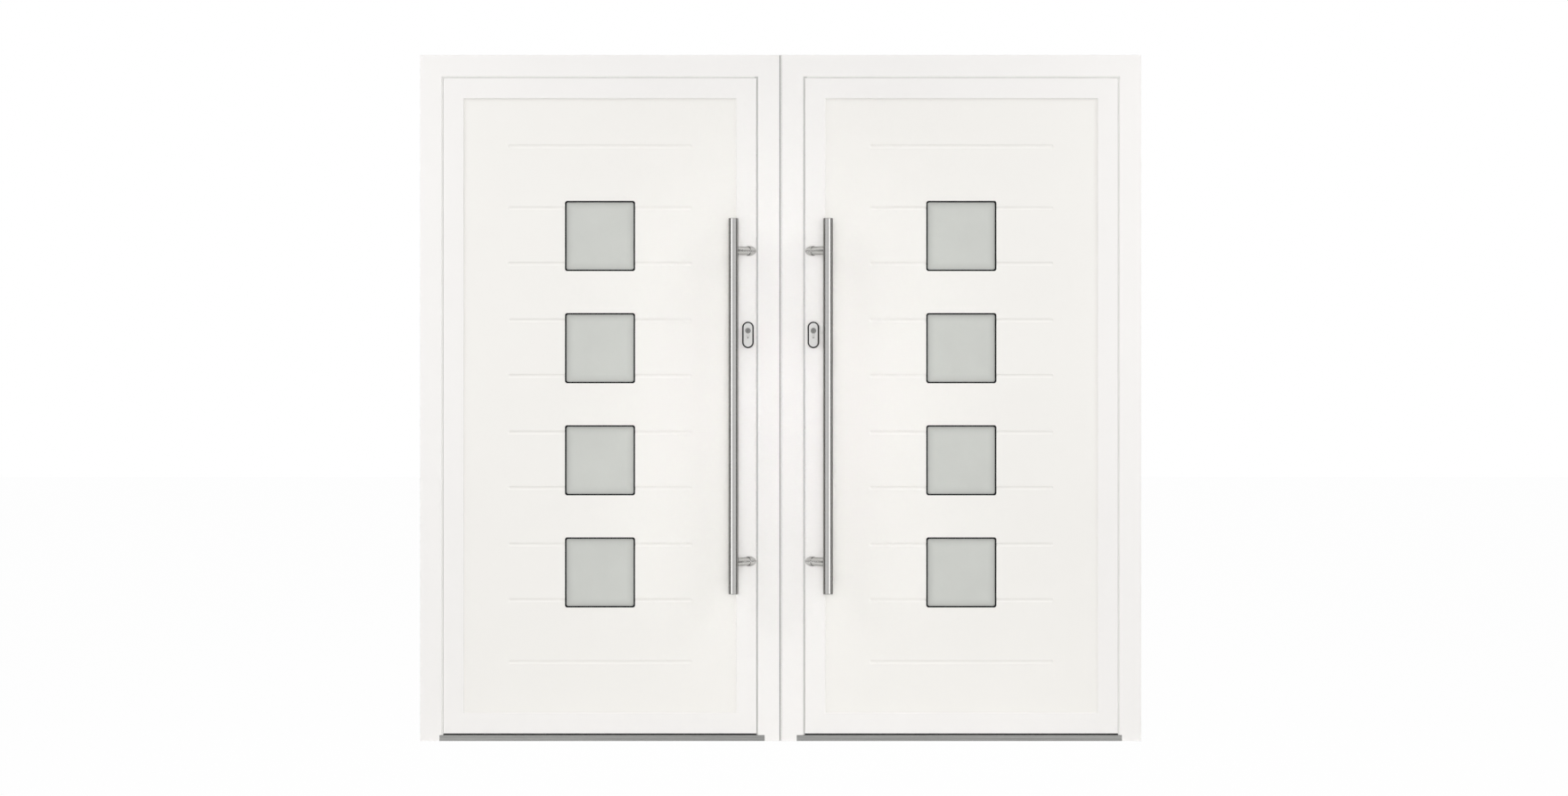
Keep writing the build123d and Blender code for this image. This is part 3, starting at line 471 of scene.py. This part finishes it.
# Places of the plates that carry the screws, and of the screws in them
LOCK_Y = 2.5 * MM
HINGE_X = 1054.5 * MM
HINGE_PLATE_OFFSET = 28.0 * MM
HINGE_PLATE_TOP = INSIDE_FACE + 4.0 * MM
HINGE_HEIGHTS = [z * MM for z in (253.69, 1026.0, 1798.31)]
HINGE_SCREW_PITCH = 30.0 * MM
FACEPLATE_X = 74.0 * MM
FACEPLATE_SCREWS = [z * MM for z in (
    456.0, 560.0, 760.0, 960.0, 1136.0, 1236.5, 1336.0, 1540.0, 1690.0, 1796.0,
)]
STRIKE_X = 69.0 * MM
STRIKE_SCREWS = [z * MM for z in (482.4, 526.4, 1171.0, 1249.0, 1329.0, 1726.2, 1770.2)]
BACKPLATE_TOP = INSIDE_FACE + 9.0 * MM
BACKPLATE_SCREWS = [z * MM for z in (1108.0, 1312.0)]
CYLINDER_FRONT = OUTSIDE_FACE - 9.0 * MM
PIN_HEIGHT = 1234.5 * MM

# Radius, rise above the plate and depth in it
HINGE_SCREW = (4.5 * MM, 0.35 * MM, 2.2 * MM)
PLATE_SCREW = (3.6 * MM, 0.7 * MM, 0.4 * MM)
CYLINDER_PIN = (1.7 * MM, 0.5 * MM, 0.8 * MM)


def add_hinge_screws(bm, x):
    """Three screws in each of the hinge plates at one place across the doors."""
    for height in HINGE_HEIGHTS:
        for step in (-1, 0, 1):
            place = (x, HINGE_PLATE_TOP, height + step * HINGE_SCREW_PITCH)
            add_screw(bm, place, INWARD, *HINGE_SCREW)


# Screws of the frame halves of the hinges and of the strike plates
hinge_screws = bmesh.new()
strike_screws = bmesh.new()
for side, sign in SIDES:
    add_hinge_screws(hinge_screws, sign * (HINGE_X + HINGE_PLATE_OFFSET))
    for height in STRIKE_SCREWS:
        add_screw(strike_screws, (sign * STRIKE_X, LOCK_Y, height), (sign, 0, 0), *PLATE_SCREW)
piece("hinge_screws_frame", hinge_screws, "frame", "zinc_steel")
piece("strike_screws", strike_screws, "frame", "zinc_steel")

# Screws of each leaf: hinge plates, faceplate and inner backplate, and the pin in the cylinder's stem
for side, sign in SIDES:
    hinge_screws = bmesh.new()
    add_hinge_screws(hinge_screws, sign * (HINGE_X - HINGE_PLATE_OFFSET))
    piece(f"hinge_screws_{side}", hinge_screws, f"leaf_{side}", "zinc_steel")
    faceplate_screws = bmesh.new()
    for height in FACEPLATE_SCREWS:
        add_screw(faceplate_screws, (sign * FACEPLATE_X, LOCK_Y, height), (-sign, 0, 0), *PLATE_SCREW)
    piece(f"faceplate_screws_{side}", faceplate_screws, f"leaf_{side}", "zinc_steel")
    backplate_screws = bmesh.new()
    for height in BACKPLATE_SCREWS:
        add_screw(backplate_screws, (sign * LOCK_X, BACKPLATE_TOP, height), INWARD, *PLATE_SCREW)
    piece(f"backplate_screws_{side}", backplate_screws, f"leaf_{side}", "brushed_stainless")
    cylinder_pin = bmesh.new()
    add_pin(cylinder_pin, (sign * LOCK_X, CYLINDER_FRONT, PIN_HEIGHT), OUTWARD, *CYLINDER_PIN)
    piece(f"cylinder_pin_{side}", cylinder_pin, f"leaf_{side}", "zinc_steel", pin_steel)


# Floor, cards, light and camera

WHITE = (1.0, 1.0, 1.0, 1.0)
WORLD_LIGHT = 0.38
FLOOR_TONE = (0.9, 0.9, 0.895, 1.0)
FLOOR_WHITE_SHARE = 0.98
FLOOR_HALF = 30.0
FLOOR_Z = -0.2 * MM
CARD_ZS = (0.0, 3.0)


def mirrored(point, sign):
    """A place on the right, or its mirror image on the left."""
    return (sign * point[0], *point[1:])


def seen_rays(tree):
    """Socket that is 1 for rays that see the background: from the camera, from gloss and through glass."""
    path = tree.nodes.new("ShaderNodeLightPath")
    seen = path.outputs["Is Camera Ray"]
    for ray in ("Is Glossy Ray", "Is Transmission Ray"):
        either = tree.nodes.new("ShaderNodeMath")
        either.operation = "MAXIMUM"
        tree.links.new(seen, either.inputs[0])
        tree.links.new(path.outputs[ray], either.inputs[1])
        seen = either.outputs["Value"]
    return seen


def floor_material():
    """Pale floor that shows as nearly white, with a light shadow left on it."""
    material = bpy.data.materials.new("floor_pale")
    material.use_nodes = True
    tree = material.node_tree
    shader = tree.nodes["Principled BSDF"]
    shader.inputs["Base Color"].default_value = FLOOR_TONE
    shader.inputs["Roughness"].default_value = 0.9
    shader.inputs["Specular IOR Level"].default_value = 0.0
    white = tree.nodes.new("ShaderNodeEmission")
    share = tree.nodes.new("ShaderNodeMath")
    share.operation = "MULTIPLY"
    share.inputs[1].default_value = FLOOR_WHITE_SHARE
    mix = tree.nodes.new("ShaderNodeMixShader")
    tree.links.new(seen_rays(tree), share.inputs[0])
    tree.links.new(share.outputs["Value"], mix.inputs["Fac"])
    tree.links.new(shader.outputs["BSDF"], mix.inputs[1])
    tree.links.new(white.outputs["Emission"], mix.inputs[2])
    tree.links.new(mix.outputs["Shader"], tree.nodes["Material Output"].inputs["Surface"])
    return material


def card_material(name, level):
    """Card of the studio that glows as bright as its level, for painted highlights and painted dark
    reflections.
    """
    material = bpy.data.materials.new(name)
    material.use_nodes = True
    tree = material.node_tree
    glow = tree.nodes.new("ShaderNodeEmission")
    glow.inputs["Strength"].default_value = level
    tree.links.new(glow.outputs["Emission"], tree.nodes["Material Output"].inputs["Surface"])
    return material


def stage_sheet(name, corners, material):
    """Flat four-cornered sheet that isn't part of the object."""
    mesh = bpy.data.meshes.new(name)
    mesh.from_pydata(corners, [], [(0, 1, 2, 3)])
    mesh.materials.append(material)
    sheet = bpy.data.objects.new(name, mesh)
    scene.collection.objects.link(sheet)
    return sheet


def add_card(name, start, end, material):
    """Upright card between two places on the floor, which only reflections see."""
    low, high = CARD_ZS
    corners = [(*start, low), (*end, low), (*end, high), (*start, high)]
    card = stage_sheet(name, corners, material)
    card.visible_camera = False
    card.visible_diffuse = False
    card.visible_transmission = False
    card.visible_shadow = False


def studio_world():
    """World that gives a low even light and shows as white."""
    world = bpy.data.worlds.new("studio")
    world.use_nodes = True
    tree = world.node_tree
    light = tree.nodes["Background"]
    light.inputs["Color"].default_value = WHITE
    light.inputs["Strength"].default_value = WORLD_LIGHT
    backdrop = tree.nodes.new("ShaderNodeBackground")
    backdrop.inputs["Color"].default_value = WHITE
    backdrop.inputs["Strength"].default_value = 1.0
    mix = tree.nodes.new("ShaderNodeMixShader")
    tree.links.new(seen_rays(tree), mix.inputs["Fac"])
    tree.links.new(light.outputs["Background"], mix.inputs[1])
    tree.links.new(backdrop.outputs["Background"], mix.inputs[2])
    tree.links.new(mix.outputs["Shader"], tree.nodes["World Output"].inputs["Surface"])
    return world


def add_lamp(name, place, target, size, power, spread):
    """Soft box of a width and a height that looks at a target, with the spread of its light in degrees."""
    data = bpy.data.lights.new(name, "AREA")
    data.shape = "RECTANGLE"
    data.size, data.size_y = size
    data.energy = power
    data.spread = math.radians(spread)
    lamp = bpy.data.objects.new(name, data)
    lamp.location = place
    lamp.rotation_euler = (Vector(target) - Vector(place)).to_track_quat("-Z", "Y").to_euler()
    lamp.visible_camera = False
    lamp.visible_glossy = False
    scene.collection.objects.link(lamp)


floor_corners = [(x * FLOOR_HALF, y * FLOOR_HALF, FLOOR_Z) for x, y in ((-1, -1), (1, -1), (1, 1), (-1, 1))]
stage_sheet("floor", floor_corners, floor_material())

# Cards that only reflections see, in pairs that meet, from front to back: a painted bright streak on the
# side of each handle and painted dark reflections on its edges, with a divider between the two handles
DIVIDER = ((0.0, -1.3), (0.0, -0.147), (0.0, -0.095))
SIDE_CARDS = ((1.24, -3.09), (2.92, -1.68), (3.2, -0.14))
dark = card_material("card_dark", 0.03)
pale = card_material("card_pale", 1.25)
bright = card_material("card_bright", 2.5)
front, joint, back = DIVIDER
add_card("card_middle_dark", joint, back, dark)
add_card("card_middle_pale", front, joint, pale)
for side, sign in SIDES:
    front, joint, back = [mirrored(place, sign) for place in SIDE_CARDS]
    add_card(f"card_bright_{side}", front, joint, bright)
    add_card(f"card_dark_{side}", joint, back, dark)

scene.world = studio_world()

# Large boxes before and behind the doors, a narrow one for the strip between the bars, and two side lamps
FRONT_PLACE = (0.0, -9.9, 1.8)
BACK_PLACE = (0.0, 9.9, 1.8)
DOORS_AIM = (0.0, 0.0, 1.3)
STRIP_PLACE = (0.0, -9.9, 1.08)
STRIP_AIM = (0.0, 0.0, 1.08)
SIDE_PLACE = (3.4, -1.5, 3.8)
SIDE_AIM = (0.45, 0.0, 1.0)
add_lamp("front_box", FRONT_PLACE, DOORS_AIM, size=(9.0, 3.0), power=160.0, spread=120.0)
add_lamp("middle_box", STRIP_PLACE, STRIP_AIM, size=(0.3, 1.1), power=0.38, spread=8.0)
add_lamp("back_box", BACK_PLACE, DOORS_AIM, size=(3.0, 3.0), power=62.0, spread=60.0)
for side, sign in SIDES:
    place, target = mirrored(SIDE_PLACE, sign), mirrored(SIDE_AIM, sign)
    add_lamp(f"key_{side}", place, target, size=(1.6, 2.0), power=12.0, spread=80.0)

# Camera level with the middle of the doors, with the width of view that it has at their outside face
CAMERA_X = 0.0102
CAMERA_Z = 1.050
CAMERA_DISTANCE = 9.0
VIEW_WIDTH = 4.797
SENSOR = 36.0
camera = bpy.data.cameras.new("camera")
camera.sensor_fit = "HORIZONTAL"
camera.sensor_width = SENSOR
camera.lens = SENSOR * CAMERA_DISTANCE / VIEW_WIDTH
viewer = bpy.data.objects.new("camera", camera)
viewer.location = (CAMERA_X, OUTSIDE_FACE - CAMERA_DISTANCE, CAMERA_Z)
viewer.rotation_euler = (math.radians(90.0), 0.0, 0.0)
scene.collection.objects.link(viewer)
scene.camera = viewer
